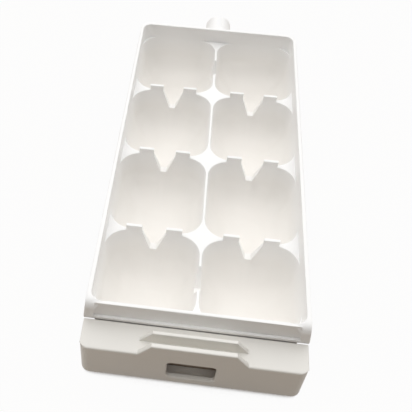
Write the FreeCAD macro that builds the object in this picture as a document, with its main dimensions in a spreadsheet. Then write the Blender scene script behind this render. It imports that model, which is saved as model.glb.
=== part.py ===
import FreeCAD, Part

import math
import os
import re

import Sketcher
from FreeCAD import Vector

doc = FreeCAD.newDocument("LeverIceCubeTray")

# Driving dimensions in millimetres and degrees
SIZES = {
    "rim_width": 100.0,
    "total_height": 37.0,
    "first_divider": 51.6,
    "row_pitch": 54.2,
    "ledge_reach": 1.2,
    "rim_wall": 2.0,
    "end_wall": 2.1,
    "front_wall": 1.8,
    "rim_flare": 0.8,
    "outer_corner": 6.0,
    "inner_corner": 5.0,
    "deck_drop": 9.5,
    "deck_thick": 1.6,
    "divider_thick": 1.8,
    "web_thick": 1.4,
    "cell_wall": 1.5,
    "cell_corner": 11.0,
    "floor_corner": 3.0,
    "floor_width": 15.6,
    "floor_length": 14.0,
    "straight_depth": 10.5,
    "cell_draft": 1.0,
    "wall_slope": 0.4,
    "notch_half": 6.0,
    "notch_floor_half": 1.6,
    "notch_depth": 12.0,
    "tab_width": 8.0,
    "tab_height": 3.6,
    "web_notch_half": 7.0,
    "web_notch_depth": 11.0,
    "ear_width": 4.2,
    "ear_round": 4.5,
    "ear_length": 9.0,
    "apron_thick": 1.8,
    "apron_inset": 4.0,
    "apron_height": 2.0,
    "boss_radius": 2.6,
    "boss_reach": 2.2,
    "hidden_overlap": 0.5,
    "deck_overlap": 0.2,
    "cut_past": 1.0,
    "corner_ease": 0.6,
    "basin_ease": 2.0,
    "pivot_radius": 8.0,
    "pivot_bore": 5.8,
    "pivot_length": 14.0,
    "pivot_drop": 8.0,
    "pivot_slot": 3.0,
    "pivot_slot_length": 11.0,
    "pivot_plate_half": 13.0,
    "pivot_plate_below": 3.0,
    "seam_gap": 0.4,
    "lever_margin": 0.5,
    "lever_depth": 14.5,
    "lever_wall": 2.0,
    "lever_top_drop": 11.3,
    "lever_fall": 1.0,
    "lever_lift": 1.0,
    "lever_corner": 4.0,
    "lever_round": 3.0,
    "lever_top_round": 1.5,
    "lever_sill": 8.2,
    "ridge_top_drop": 4.6,
    "ridge_base_half": 24.5,
    "ridge_top_half": 18.5,
    "front_ridge": 2.3,
    "rear_ridge": 1.7,
    "ridge_pitch": 6.5,
    "window_half": 11.0,
    "window_height": 12.8,
    "window_drop": 16.9,
    "window_corner": 2.2,
    "hinge_clear": 0.1,
    "hinge_floor_clear": 0.3,
    "pin_radius": 1.5,
    "pin_post_clear": 0.6,
    "pin_tail": 1.5,
    "pin_head_radius": 2.7,
    "pin_head_thick": 0.8,
    "running_fit": 0.03,
    "rib_inner": 36.0,
    "rib_thick": 3.0,
    "rib_radius": 4.0,
    "bush_radius": 2.6,
    "flange_radius": 3.2,
    "flange_thick": 0.7,
    "lug_gap": 0.4,
    "lug_thick": 3.0,
    "lug_radius": 3.0,
    "bracket_thick": 2.0,
    "bracket_top_drop": 14.6,
    "bracket_height": 3.5,
    "bracket_inset": 5.0,
    "arm_below": 1.5,
    "arm_above": 3.0,
    "clip_radius": 3.0,
    "clip_thick": 0.6,
    "wire_radius": 0.4,
    "coil_radius": 2.6,
    "coil_pitch": 1.3,
    "coil_clear": 0.4,
    "spring_leg": 8.5,
    "wire_clear": 0.15,
    "leg_clear": 0.1,
    "plate_thick": 2.0,
    "plate_half": 30.0,
    "plate_top_drop": 15.6,
    "plate_height": 2.5,
    "tooth_inner": 17.0,
    "tooth_width": 6.0,
    "tooth_lift": 0.3,
    "tooth_depth": 3.2,
    "tooth_height": 2.0,
    "post_x": 22.0,
    "post_upper_drop": 18.6,
    "post_lower_height": 7.4,
    "post_radius": 3.0,
    "latch_screw_length": 6.9,
    "bracket_screw_length": 5.4,
    "screw_clear": 0.2,
    "screw_radius": 1.3,
    "screw_head_radius": 2.5,
    "screw_head_thick": 1.5,
    "upper_screw_inset": 5.0,
    "upper_screw_drop": 23.5,
    "lower_screw_x": 9.0,
    "lower_screw_height": 6.0,
    "buffer_x": 14.5,
    "buffer_drop": 20.0,
    "buffer_radius": 3.0,
    "buffer_stem": 1.4,
    "contact_gap": 0.3,
}

sheet = doc.addObject("Spreadsheet::Sheet", "Sizes")
for index, (alias, value) in enumerate(SIZES.items(), start=1):
    sheet.set(f"A{index}", alias)
    sheet.set(f"B{index}", str(value))
    sheet.setAlias(f"B{index}", alias)
doc.recompute()


def size(expression):
    """Put the sheet's name before each alias of an expression."""
    return re.sub(r"[a-z_]+", lambda word: f"Sizes.{word[0]}" if word[0] in SIZES else word[0], expression)


def number(expression):
    """Value of an expression of the sheet, in millimetres."""
    value = sheet.evalExpression(size(expression))
    return float(getattr(value, "Value", value))


# Places that more than one piece uses, as expressions of the sheet
SIDES = (("Left", "-1"), ("Right", "1"))
INNER_FRONT = "( ledge_reach + front_wall )"
INNER_BACK = "( first_divider + 3 * row_pitch - divider_thick / 2 )"
TRAY_BACK = f"( {INNER_BACK} + end_wall )"
PIVOT_END = f"( {TRAY_BACK} + pivot_length )"
LEDGE_HALF = "( rim_width / 2 + rim_flare )"
BAND_LOW = "( - deck_drop - deck_thick )"
DECK_UNDER = "( - deck_drop - deck_overlap )"
CELL_OUTER = "( rim_width / 2 - rim_wall - wall_slope )"
CELL_WIDTH = f"( {CELL_OUTER} - web_thick / 2 )"
CELL_X = f"( ( {CELL_OUTER} + web_thick / 2 ) / 2 )"
FRONT_CELL = f"( first_divider - divider_thick / 2 - {INNER_FRONT} )"
FRONT_CELL_Y = f"( {INNER_FRONT} + {FRONT_CELL} / 2 )"
REAR_CELL = "( row_pitch - divider_thick )"
REAR_CELL_Y = "( first_divider + row_pitch / 2 )"
BOWL_DEPTH = "( total_height - cell_wall - deck_drop - straight_depth )"
DIVIDERS = [f"( first_divider + {row} * row_pitch )" for row in range(3)]
WEB_NOTCHES = [FRONT_CELL_Y, f"( {REAR_CELL_Y} + 2 * row_pitch )"]
FRAME_Y = f"- ( {TRAY_BACK} + pivot_length - lever_depth ) / 2"
APRON_HALF = "( rim_width / 2 - apron_inset )"
BRACKET_HALF = "( rim_width / 2 - bracket_inset )"
BRACKET_FRONT = "( ledge_reach - bracket_thick )"
BRACKET_LOW = "( bracket_height - total_height )"
SCREWS = [(f"{side} * {x}", drop) for _, side in SIDES
          for x, drop in ((f"( {CELL_OUTER} - upper_screw_inset )", "- upper_screw_drop"),
                          ("lower_screw_x", "lower_screw_height - total_height"))]
LEVER_WIDTH = "( rim_width + 2 * lever_margin )"
LEVER_FRONT_DROP = "( lever_top_drop + lever_fall )"
LEVER_BOTTOM = "( total_height - lever_lift )"
LEVER_INSIDE = "( - lever_depth + lever_wall )"
KNUCKLE = "max(coil_radius + wire_radius; flange_radius; lug_radius; clip_radius; pin_head_radius)"
HINGE_Y = f"( {LEVER_INSIDE} + {KNUCKLE} + hinge_clear )"
HINGE_Z = f"( {KNUCKLE} + hinge_floor_clear + lever_wall - {LEVER_BOTTOM} )"
HINGE = [(HINGE_Y, HINGE_Z)]
LUG_INNER = "( rib_inner + rib_thick + flange_thick + lug_gap )"
LUG_OUTER = f"( {LUG_INNER} + lug_thick )"
PIN_INNER = "( post_x + post_radius + pin_post_clear )"
PIN_OUTER = f"( {LUG_OUTER} + clip_thick + pin_tail )"
COIL_START = f"( {PIN_INNER} + pin_head_thick + coil_clear + wire_radius )"
PLATE_FRONT = f"( {HINGE_Y} + coil_radius + wire_radius + leg_clear )"
PLATE_BACK = f"( {PLATE_FRONT} + plate_thick )"
PLATE_LOW = "( plate_height - total_height )"
TOOTH_LOW = "( tooth_lift - total_height )"
POSTS = [(f"{side} * post_x", drop) for _, side in SIDES
         for drop in ("- post_upper_drop", "post_lower_height - total_height")]
BUFFERS = {word: (f"{side} * buffer_x", "- buffer_drop") for word, side in SIDES}
SPRING_TURNS = 4.75
ARCS_PER_TURN = 4
EDGE_TOLERANCE = 0.2


def new_body(label):
    """Body of one piece, moved so that the frame's origin is under the middle of the whole object."""
    body = doc.addObject("PartDesign::Body", label)
    body.Label = label
    body.setExpression("Placement.Base.y", size(FRAME_Y))
    body.setExpression("Placement.Base.z", size("total_height"))
    return body


def plane(body, role):
    """Origin plane or axis of the body with this role."""
    return next(item for item in body.Origin.OriginFeatures if item.Role == role)


def sketch_on(body, name, role, at):
    """Empty sketch on an origin plane, its centre at three expressions in the sketch's own axes."""
    sketch = body.newObject("Sketcher::SketchObject", name)
    sketch.AttachmentSupport = (plane(body, role), "")
    sketch.MapMode = "FlatFace"
    for axis, expression in zip("xyz", at):
        sketch.setExpression(f"AttachmentOffset.Base.{axis}", size(expression))
    return sketch


def bind(sketch, constraint, name, expression):
    """Add a named dimension and bind it to an expression of the sheet."""
    index = sketch.addConstraint(constraint)
    sketch.renameConstraint(index, name)
    sketch.setExpression(f"Constraints.{name}", size(expression))


def rounded(body, name, role, at, width, length, radius):
    """Rounded rectangle about the sketch's centre."""
    sketch = sketch_on(body, name, role, at)
    half_x, half_y, corner = number(width) / 2, number(length) / 2, number(radius)
    inner_x, inner_y = half_x - corner, half_y - corner
    ends = [
        ((-inner_x, -half_y), (inner_x, -half_y)),
        ((half_x, -inner_y), (half_x, inner_y)),
        ((inner_x, half_y), (-inner_x, half_y)),
        ((-half_x, inner_y), (-half_x, -inner_y)),
    ]
    for start, end in ends:
        sketch.addGeometry(Part.LineSegment(Vector(*start, 0), Vector(*end, 0)), False)
    centres = [(inner_x, -inner_y), (inner_x, inner_y), (-inner_x, inner_y), (-inner_x, -inner_y)]
    for turn, (x, y) in enumerate(centres):
        circle = Part.Circle(Vector(x, y, 0), Vector(0, 0, 1), corner)
        start = (turn - 1) * math.pi / 2
        sketch.addGeometry(Part.ArcOfCircle(circle, start, start + math.pi / 2), False)
    for side in range(4):
        sketch.addConstraint(Sketcher.Constraint("Tangent", side, 2, 4 + side, 1))
        sketch.addConstraint(Sketcher.Constraint("Tangent", 4 + side, 2, (side + 1) % 4, 1))
    for side in (0, 2):
        sketch.addConstraint(Sketcher.Constraint("Horizontal", side))
        sketch.addConstraint(Sketcher.Constraint("Vertical", side + 1))
    for arc in (5, 6, 7):
        sketch.addConstraint(Sketcher.Constraint("Equal", 4, arc))
    sketch.addConstraint(Sketcher.Constraint("Symmetric", 4, 3, 6, 3, -1, 1))
    bind(sketch, Sketcher.Constraint("Radius", 4, corner), "corner", radius)
    bind(sketch, Sketcher.Constraint("DistanceX", 3, 1, 1, 1, 2 * half_x), "width", width)
    bind(sketch, Sketcher.Constraint("DistanceY", 0, 1, 2, 1, 2 * half_y), "length", length)
    return sketch


def outlines(body, name, role, loops, depth="0"):
    """Closed outlines whose corners are pairs of expressions, in a plane at a depth along its normal."""
    sketch = sketch_on(body, name, role, ("0", "0", depth))
    first = 0
    for loop in loops:
        places = [Vector(number(x), number(y), 0) for x, y in loop]
        count = len(places)
        for index in range(count):
            sketch.addGeometry(Part.LineSegment(places[index], places[(index + 1) % count]), False)
        for index in range(count):
            after = first + (index + 1) % count
            sketch.addConstraint(Sketcher.Constraint("Coincident", first + index, 2, after, 1))
        for index, (x, y) in enumerate(loop):
            line, place = first + index, places[index]
            bind(sketch, Sketcher.Constraint("DistanceX", -1, 1, line, 1, place.x), f"x{line}", x)
            bind(sketch, Sketcher.Constraint("DistanceY", -1, 1, line, 1, place.y), f"y{line}", y)
        first += count
    return sketch


def box_outline(low_x, low_y, high_x, high_y):
    """Corners of a rectangle between two places."""
    return [(low_x, low_y), (high_x, low_y), (high_x, high_y), (low_x, high_y)]


def discs(body, name, role, places, radius, depth="0"):
    """Circles of one radius about several places, in a plane at a depth along its normal."""
    sketch = sketch_on(body, name, role, ("0", "0", depth))
    for index, (x, y) in enumerate(places):
        centre = Vector(number(x), number(y), 0)
        sketch.addGeometry(Part.Circle(centre, Vector(0, 0, 1), number(radius)), False)
        bind(sketch, Sketcher.Constraint("DistanceX", -1, 1, index, 3, centre.x), f"x{index}", x)
        bind(sketch, Sketcher.Constraint("DistanceY", -1, 1, index, 3, centre.y), f"y{index}", y)
        bind(sketch, Sketcher.Constraint("Radius", index, number(radius)), f"radius{index}", radius)
    return sketch


def extrude(body, kind, name, sketch, length, reverse=False, middle=False):
    """Pad or Pocket of a sketch over a length."""
    feature = body.newObject(f"PartDesign::{kind}", name)
    feature.Profile = sketch
    feature.setExpression("Length", size(length))
    feature.Reversed = reverse
    feature.Midplane = middle
    feature.Refine = False
    return feature


def loft(body, kind, name, sections):
    """Ruled loft through sections."""
    feature = body.newObject(f"PartDesign::{kind}Loft", name)
    feature.Profile = sections[0]
    feature.Sections = sections[1:]
    feature.Ruled = True
    feature.Refine = False
    return feature


def repeat_rows(body, name, feature):
    """Copy a cell of the second row to the two rows behind it."""
    pattern = body.newObject("PartDesign::LinearPattern", name)
    pattern.Originals = [feature]
    pattern.Direction = (plane(body, "Y_Axis"), [""])
    pattern.setExpression("Length", size("2 * row_pitch"))
    pattern.Occurrences = 3
    pattern.Refine = False
    body.Tip = pattern
    return pattern


def block(body, kind, name, low, high):
    """Box between two corners, given as expressions."""
    outline = box_outline(low[0], low[1], high[0], high[1])
    sketch = outlines(body, f"{name}Outline", "XY_Plane", [outline], low[2])
    height = f"( {high[2]} ) - ( {low[2]} )"
    return extrude(body, kind, name, sketch, height, reverse=(kind == "Pocket"))


def rods(body, kind, name, places, radius, start, end):
    """Round bars or holes along X at places in the YZ plane, from start to end."""
    sketch = discs(body, f"{name}Circles", "YZ_Plane", places, radius, start)
    return extrude(body, kind, name, sketch, f"( {end} ) - ( {start} )", reverse=(kind == "Pocket"))


def studs(body, kind, name, places, radius, start, end):
    """Round bars or holes along Y at places in the XZ plane, from start to end towards the back."""
    sketch = discs(body, f"{name}Circles", "XZ_Plane", places, radius, f"- ( {start} )")
    return extrude(body, kind, name, sketch, f"( {end} ) - ( {start} )", reverse=(kind == "Pad"))


def bowl(body, kind, name, side, row_y, length, shell):
    """Cell of one column: straight drafted walls, then an elliptical turn to a small flat floor.

    At a turn of angle t the half width is floor half + reach * cos t, and the depth below the
    straight part is the bowl's depth * sin t. The shell is the wall added outside the cell.
    """
    centre = (f"{side} * {CELL_X}", row_y)
    wide = f"( {CELL_WIDTH} / 2 - cell_draft - floor_width / 2 )"
    long = f"( {length} / 2 - cell_draft - floor_length / 2 )"
    sections = []

    def add(level, width, depth, corner):
        place = (*centre, level)
        label = f"{name}Section{len(sections)}"
        grown = (f"{width} + 2 * {shell}", f"{depth} + 2 * {shell}", f"{corner} + {shell}")
        sections.append(rounded(body, label, "XY_Plane", place, *grown))

    if kind == "Subtractive":
        add("- deck_drop + hidden_overlap", CELL_WIDTH, length, "cell_corner")
    add("- deck_drop", CELL_WIDTH, length, "cell_corner")
    for angle in (0, 30, 60, 90):
        level = f"- deck_drop - straight_depth - ( {BOWL_DEPTH} + {shell} ) * sin({angle} deg)"
        width = f"floor_width + 2 * {wide} * cos({angle} deg)"
        depth = f"floor_length + 2 * {long} * cos({angle} deg)"
        corner = f"floor_corner + ( cell_corner - corner_ease - floor_corner ) * cos({angle} deg)"
        add(level, width, depth, corner)
    return loft(body, kind, name, sections)


def cell_set(body, kind, shell):
    """All eight cells as added shells or as cut hollows."""
    for word, side in SIDES:
        bowl(body, kind, f"{kind}Front{word}", side, FRONT_CELL_Y, FRONT_CELL, shell)
        rear = bowl(body, kind, f"{kind}Rear{word}", side, REAR_CELL_Y, REAR_CELL, shell)
        repeat_rows(body, f"{kind}Rows{word}", rear)


def rim_band(body):
    """Band of the rim down to the deck's underside, and the ledge and ears at its front.

    The side walls flare outwards. The back wall stands upright, so that a socket on the pivot can
    come right up to it.
    """
    length = f"{TRAY_BACK} - ledge_reach"
    middle = f"( ledge_reach + {TRAY_BACK} ) / 2"
    top = ("0", middle, "0")
    low = ("0", middle, BAND_LOW)
    wide = "rim_width + 2 * rim_flare"
    loft(body, "Additive", "RimBand", [
        rounded(body, "BandTop", "XY_Plane", top, "rim_width", length, "outer_corner"),
        rounded(body, "BandLow", "XY_Plane", low, wide, length, "outer_corner"),
    ])
    block(body, "Pad", "Ledge", (f"- {LEDGE_HALF}", "0", BAND_LOW),
          (LEDGE_HALF, "ear_length", "- deck_drop"))
    for word, side in SIDES:
        inner = f"{side} * ( rim_width / 2 - ear_width )"
        sections = []
        for angle in (0, 30, 60, 90):
            front = f"( ear_round * ( 1 - sin({angle} deg) ) )"
            drop = f"( ear_round * ( 1 - cos({angle} deg) ) )"
            outer = f"{side} * ( rim_width / 2 + rim_flare * {drop} / deck_drop )"
            corners = box_outline(inner, front, outer, "ear_length")
            sections.append(outlines(body, f"Ear{word}{angle}", "XY_Plane", [corners], f"- {drop}"))
        corners = box_outline(inner, "0", f"{side} * {LEDGE_HALF}", "ear_length")
        sections.append(outlines(body, f"Ear{word}Foot", "XY_Plane", [corners], "- deck_drop"))
        loft(body, "Additive", f"Ear{word}", sections)


def tray_supports(body):
    """Linings of the notches, apron, screw bosses and pivot, added before the hollows are cut."""
    low = "( - deck_drop - notch_depth - cell_wall )"
    half = "( notch_half + cell_wall )"
    ends = (f"{DIVIDERS[0]} - divider_thick", f"{DIVIDERS[2]} + divider_thick")
    shapes = [box_outline(f"{side} * {CELL_X} - {half}", low, f"{side} * {CELL_X} + {half}", DECK_UNDER)
              for _, side in SIDES]
    sketch = outlines(body, "NotchLiningOutlines", "XZ_Plane", shapes, f"- ( {ends[0]} )")
    extrude(body, "Pad", "NotchLining", sketch, f"( {ends[1]} ) - ( {ends[0]} )", reverse=True)
    low = "( - deck_drop - web_notch_depth - cell_wall )"
    half = "( web_notch_half + cell_wall )"
    shapes = [box_outline(f"{row} - {half}", low, f"{row} + {half}", DECK_UNDER) for row in WEB_NOTCHES]
    sketch = outlines(body, "WebLiningOutlines", "YZ_Plane", shapes)
    extrude(body, "Pad", "WebLining", sketch, "web_thick + 2 * cell_draft + 2 * cell_wall", middle=True)
    block(body, "Pad", "Apron", (f"- {APRON_HALF}", "ledge_reach", "apron_height - total_height"),
          (APRON_HALF, "ledge_reach + apron_thick", DECK_UNDER))
    low = "( - pivot_drop - pivot_radius - pivot_plate_below )"
    block(body, "Pad", "PivotPlate", ("- pivot_plate_half", INNER_BACK, low),
          ("pivot_plate_half", TRAY_BACK, DECK_UNDER))
    studs(body, "Pad", "ScrewBosses", SCREWS, "boss_radius", "ledge_reach",
          "ledge_reach + apron_thick + boss_reach")
    studs(body, "Pad", "PivotBoss", [("0", "- pivot_drop")], "pivot_radius",
          f"{TRAY_BACK} - hidden_overlap", PIVOT_END)


def tray_hollows(body):
    """Basin above the deck, the eight cells, the notches between them, the pivot bore and slot."""
    centre = f"( {INNER_FRONT} + {INNER_BACK} ) / 2"
    length = f"{INNER_BACK} - {INNER_FRONT}"
    wide = "rim_width - 2 * rim_wall"
    loft(body, "Subtractive", "Basin", [
        rounded(body, "BasinTop", "XY_Plane", ("0", centre, "0"), wide, length, "inner_corner"),
        rounded(body, "BasinLow", "XY_Plane", ("0", centre, "- deck_drop"), f"2 * {CELL_OUTER}", length,
                "inner_corner + basin_ease"),
    ])
    cell_set(body, "Subtractive", "0")
    low, high = "( - deck_drop - notch_depth )", "( - deck_drop + cut_past )"
    shapes = []
    for _, side in SIDES:
        middle = f"{side} * {CELL_X}"
        shapes.append([(f"{middle} - notch_floor_half", low), (f"{middle} + notch_floor_half", low),
                       (f"{middle} + notch_half", high), (f"{middle} - notch_half", high)])
    start = f"{DIVIDERS[0]} - divider_thick - 2 * cut_past"
    sketch = outlines(body, "NotchOutlines", "XZ_Plane", shapes, f"- ( {start} )")
    extrude(body, "Pocket", "Notches", sketch, "2 * row_pitch + 2 * divider_thick + 4 * cut_past")
    low = "( - deck_drop - web_notch_depth )"
    shapes = [[(f"{row} - notch_floor_half", low), (f"{row} + notch_floor_half", low),
               (f"{row} + web_notch_half", high), (f"{row} - web_notch_half", high)] for row in WEB_NOTCHES]
    sketch = outlines(body, "WebNotchOutlines", "YZ_Plane", shapes)
    extrude(body, "Pocket", "WebNotches", sketch, "web_thick + 2 * cell_draft + 2 * cut_past", middle=True)
    studs(body, "Pocket", "PivotBore", [("0", "- pivot_drop")], "pivot_bore", TRAY_BACK,
          f"{PIVOT_END} + cut_past")
    block(body, "Pocket", "PivotSlot",
          ("- pivot_slot / 2", f"{PIVOT_END} - pivot_slot_length",
           "- pivot_drop - pivot_radius - cut_past"),
          ("pivot_slot / 2", f"{PIVOT_END} + cut_past", "- pivot_drop + pivot_radius + cut_past"))
    studs(body, "Pocket", "ScrewHoles", SCREWS, "screw_radius + running_fit", "ledge_reach - cut_past",
          f"{BRACKET_FRONT} + bracket_screw_length + screw_clear")


def divider_tabs(body):
    """Two raised tabs beside the notch of each divider in each column."""
    shapes = []
    for row in DIVIDERS:
        for _, side in SIDES:
            for sign in ("-", "+"):
                middle = f"( {side} * {CELL_X} {sign} ( notch_half + tab_width / 2 ) )"
                shapes.append(box_outline(f"{middle} - tab_width / 2", f"{row} - divider_thick / 2",
                                          f"{middle} + tab_width / 2", f"{row} + divider_thick / 2"))
    sketch = outlines(body, "TabOutlines", "XY_Plane", shapes, "- deck_drop - hidden_overlap")
    extrude(body, "Pad", "Tabs", sketch, "tab_height + hidden_overlap")


def ice_tray():
    """One moulding: rim, eight cells, notched dividers, front apron and split rear pivot."""
    body = new_body("ice_tray")
    rim_band(body)
    cell_set(body, "Additive", "cell_wall")
    tray_supports(body)
    tray_hollows(body)
    divider_tabs(body)
    return body


def across(side, inner, outer):
    """Start and end of a stretch of one side, the lower x first."""
    return (inner, outer) if side == "1" else (f"- ( {outer} )", f"- ( {inner} )")


def side_block(body, kind, name, side, inner, outer, low, high):
    """Box on one side between two distances from the middle; low and high are y and z."""
    start, end = across(side, inner, outer)
    return block(body, kind, name, (start, *low), (end, *high))


def lever_profile(body):
    """Side outline of the shell: level bottom, upright back and front, top falling to the front."""
    front, bottom, back = "- lever_depth", f"- {LEVER_BOTTOM}", "- seam_gap"
    top = f"- {LEVER_FRONT_DROP}"
    corners = [(back, bottom), (front, bottom), (front, top), (back, "- lever_top_drop")]
    return outlines(body, "LeverProfile", "YZ_Plane", [corners])


def fillet_where(body, feature, name, radius, wanted):
    """Fillet the edges of a feature whose middle passes a test."""
    doc.recompute()
    names = [f"Edge{index}" for index, edge in enumerate(feature.Shape.Edges, start=1)
             if wanted(edge.CenterOfMass)]
    fillet = body.newObject("PartDesign::Fillet", name)
    fillet.Base = (feature, names)
    fillet.setExpression("Radius", size(radius))
    return fillet


def front_lever():
    """Wide shell with two grip ridges on top, a rounded window, hinge ribs and screw posts inside."""
    body = new_body("front_lever")
    shell = extrude(body, "Pad", "Shell", lever_profile(body), LEVER_WIDTH, middle=True)
    front, half = number("- lever_depth"), number(f"{LEVER_WIDTH} / 2")

    def upright(middle):
        return abs(middle.y - front) < EDGE_TOLERANCE and abs(abs(middle.x) - half) < EDGE_TOLERANCE

    def level_at(height):
        def level(middle):
            across_front = abs(middle.x) < EDGE_TOLERANCE and abs(middle.y - front) < EDGE_TOLERANCE
            return across_front and abs(middle.z - number(height)) < EDGE_TOLERANCE
        return level

    corners = fillet_where(body, shell, "FrontCorners", "lever_corner", upright)
    lower = fillet_where(body, corners, "LowerFrontEdge", "lever_round", level_at(f"- {LEVER_BOTTOM}"))
    fillet_where(body, lower, "UpperFrontEdge", "lever_top_round", level_at(f"- {LEVER_FRONT_DROP}"))
    sill = "( - lever_depth + lever_sill )"
    floor = f"( - {LEVER_BOTTOM} + lever_wall )"
    under = f"( - {LEVER_BOTTOM} - cut_past )"
    inside = [(LEVER_INSIDE, floor), (sill, floor), (sill, under), ("lever_wall", under),
              ("lever_wall", "- lever_top_drop - lever_wall"),
              (LEVER_INSIDE, f"- {LEVER_FRONT_DROP} - lever_wall")]
    sketch = outlines(body, "LeverInside", "YZ_Plane", [inside])
    extrude(body, "Pocket", "Inside", sketch, f"{LEVER_WIDTH} - 2 * lever_wall", middle=True)
    foot = f"( - {LEVER_FRONT_DROP} - lever_wall / 2 )"
    ridge = [("- ridge_base_half", foot), ("ridge_base_half", foot),
             ("ridge_top_half", "- ridge_top_drop"), ("- ridge_top_half", "- ridge_top_drop")]
    for word, start, thick in (("Front", "- lever_depth", "front_ridge"),
                               ("Rear", "( - lever_depth + ridge_pitch )", "rear_ridge")):
        sketch = outlines(body, f"{word}RidgeOutline", "XZ_Plane", [ridge], f"- ( {start} )")
        extrude(body, "Pad", f"{word}Ridge", sketch, thick, reverse=True)
    middle = ("0", "- window_drop - window_height / 2", "lever_depth + cut_past")
    sketch = rounded(body, "WindowOutline", "XZ_Plane", middle, "2 * window_half", "window_height",
                     "window_corner")
    extrude(body, "Pocket", "Window", sketch, "lever_wall + 2 * cut_past")
    for word, side in SIDES:
        low = (f"{LEVER_INSIDE} - hidden_overlap", f"{floor} - hidden_overlap")
        high = (f"{HINGE_Y} + rib_radius", HINGE_Z)
        side_block(body, "Pad", f"Rib{word}", side, "rib_inner", "rib_inner + rib_thick", low, high)
        ends = across(side, "rib_inner", "rib_inner + rib_thick")
        rods(body, "Pad", f"RibBoss{word}", HINGE, "rib_radius", *ends)
        ends = across(side, "rib_inner - cut_past", "rib_inner + rib_thick + cut_past")
        rods(body, "Pocket", f"BushBore{word}", HINGE, "bush_radius + running_fit", *ends)
    studs(body, "Pad", "Posts", POSTS, "post_radius", f"{LEVER_INSIDE} - hidden_overlap",
          PLATE_FRONT)
    studs(body, "Pocket", "PostHoles", POSTS, "screw_radius + running_fit",
          f"{PLATE_BACK} - latch_screw_length - screw_clear", f"{PLATE_FRONT} + cut_past")
    return body


def lever_bracket():
    """Plate on the tray's apron with a hinge lug at each end and holes for springs, screws and buffers."""
    body = new_body("lever_bracket")
    block(body, "Pad", "Plate", (f"- {BRACKET_HALF}", BRACKET_FRONT, BRACKET_LOW),
          (BRACKET_HALF, "ledge_reach", "- bracket_top_drop"))
    for word, side in SIDES:
        low = (HINGE_Y, f"{HINGE_Z} - arm_below")
        high = (f"{BRACKET_FRONT} + hidden_overlap", f"{HINGE_Z} + arm_above")
        side_block(body, "Pad", f"Arm{word}", side, LUG_INNER, LUG_OUTER, low, high)
        rods(body, "Pad", f"Lug{word}", HINGE, "lug_radius", *across(side, LUG_INNER, LUG_OUTER))
        ends = across(side, f"{LUG_INNER} - cut_past", f"{LUG_OUTER} + cut_past")
        rods(body, "Pocket", f"PinBore{word}", HINGE, "pin_radius + running_fit", *ends)
    through = (f"{BRACKET_FRONT} - cut_past", "ledge_reach + cut_past")
    studs(body, "Pocket", "ScrewHoles", SCREWS, "screw_radius + running_fit", *through)
    studs(body, "Pocket", "BufferHoles", BUFFERS.values(), "buffer_stem + running_fit", *through)
    legs = [(f"{side} * ( {COIL_START} + {SPRING_TURNS} * coil_pitch )", f"{HINGE_Z} + coil_radius")
            for _, side in SIDES]
    studs(body, "Pocket", "SpringHoles", legs, "wire_radius + wire_clear", *through)
    return body


def screws(label, places, face, length, way):
    """Pan-head screws as one group, with heads on a face; their tips point along Y the given way."""
    body = new_body(label)
    body.AllowCompound = True
    head, tip = f"( {face} - {way} * screw_head_thick )", f"( {face} + {way} * {length} )"
    heads, shanks = ((head, face), (face, tip)) if way == "1" else ((face, head), (tip, face))
    studs(body, "Pad", "Heads", places, "screw_head_radius", *heads)
    studs(body, "Pad", "Shanks", places, "screw_radius", *shanks)
    return body


def hinge_pin(word, side):
    """Headed pin that carries one end of the lever and its spring."""
    body = new_body(f"hinge_pin_{word.lower()}")
    rods(body, "Pad", "Shank", HINGE, "pin_radius", *across(side, PIN_INNER, PIN_OUTER))
    ends = across(side, PIN_INNER, f"{PIN_INNER} + pin_head_thick")
    rods(body, "Pad", "Head", HINGE, "pin_head_radius", *ends)
    return body


def pin_clips():
    """Two retaining rings, one on the outer end of each pin."""
    body = new_body("pin_clips")
    body.AllowCompound = True
    for word, side in SIDES:
        ends = across(side, LUG_OUTER, f"{LUG_OUTER} + clip_thick")
        rods(body, "Pad", f"Ring{word}", HINGE, "clip_radius", *ends)
    for word, side in SIDES:
        ends = across(side, f"{LUG_OUTER} - cut_past", f"{LUG_OUTER} + clip_thick + cut_past")
        rods(body, "Pocket", f"Hole{word}", HINGE, "pin_radius + running_fit", *ends)
    return body


def hinge_bush(word, side):
    """Flanged bush in one hinge rib of the lever."""
    body = new_body(f"hinge_bush_{word.lower()}")
    rods(body, "Pad", "Sleeve", HINGE, "bush_radius", *across(side, "rib_inner", "rib_inner + rib_thick"))
    ends = across(side, "rib_inner + rib_thick", "rib_inner + rib_thick + flange_thick")
    rods(body, "Pad", "Flange", HINGE, "flange_radius", *ends)
    ends = across(side, "rib_inner - cut_past", LUG_INNER)
    rods(body, "Pocket", "Bore", HINGE, "pin_radius + running_fit", *ends)
    return body


def latch_plate():
    """Plate screwed to the lever's posts, with two hooked teeth that catch the freezer's rail."""
    body = new_body("latch_plate")
    block(body, "Pad", "Plate", ("- plate_half", PLATE_FRONT, PLATE_LOW),
          ("plate_half", PLATE_BACK, "- plate_top_drop"))
    for word, side in SIDES:
        ends = ("tooth_inner", "tooth_inner + tooth_width")
        side_block(body, "Pad", f"Tooth{word}", side, *ends, (PLATE_FRONT, TOOTH_LOW),
                   (PLATE_BACK, f"{PLATE_LOW} + hidden_overlap"))
        side_block(body, "Pad", f"Hook{word}", side, *ends, (PLATE_FRONT, TOOTH_LOW),
                   (f"{PLATE_FRONT} + tooth_depth", f"{TOOTH_LOW} + tooth_height"))
    studs(body, "Pocket", "ScrewHoles", POSTS, "screw_radius + running_fit",
          f"{PLATE_FRONT} - cut_past", f"{PLATE_BACK} + cut_past")
    return body


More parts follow.
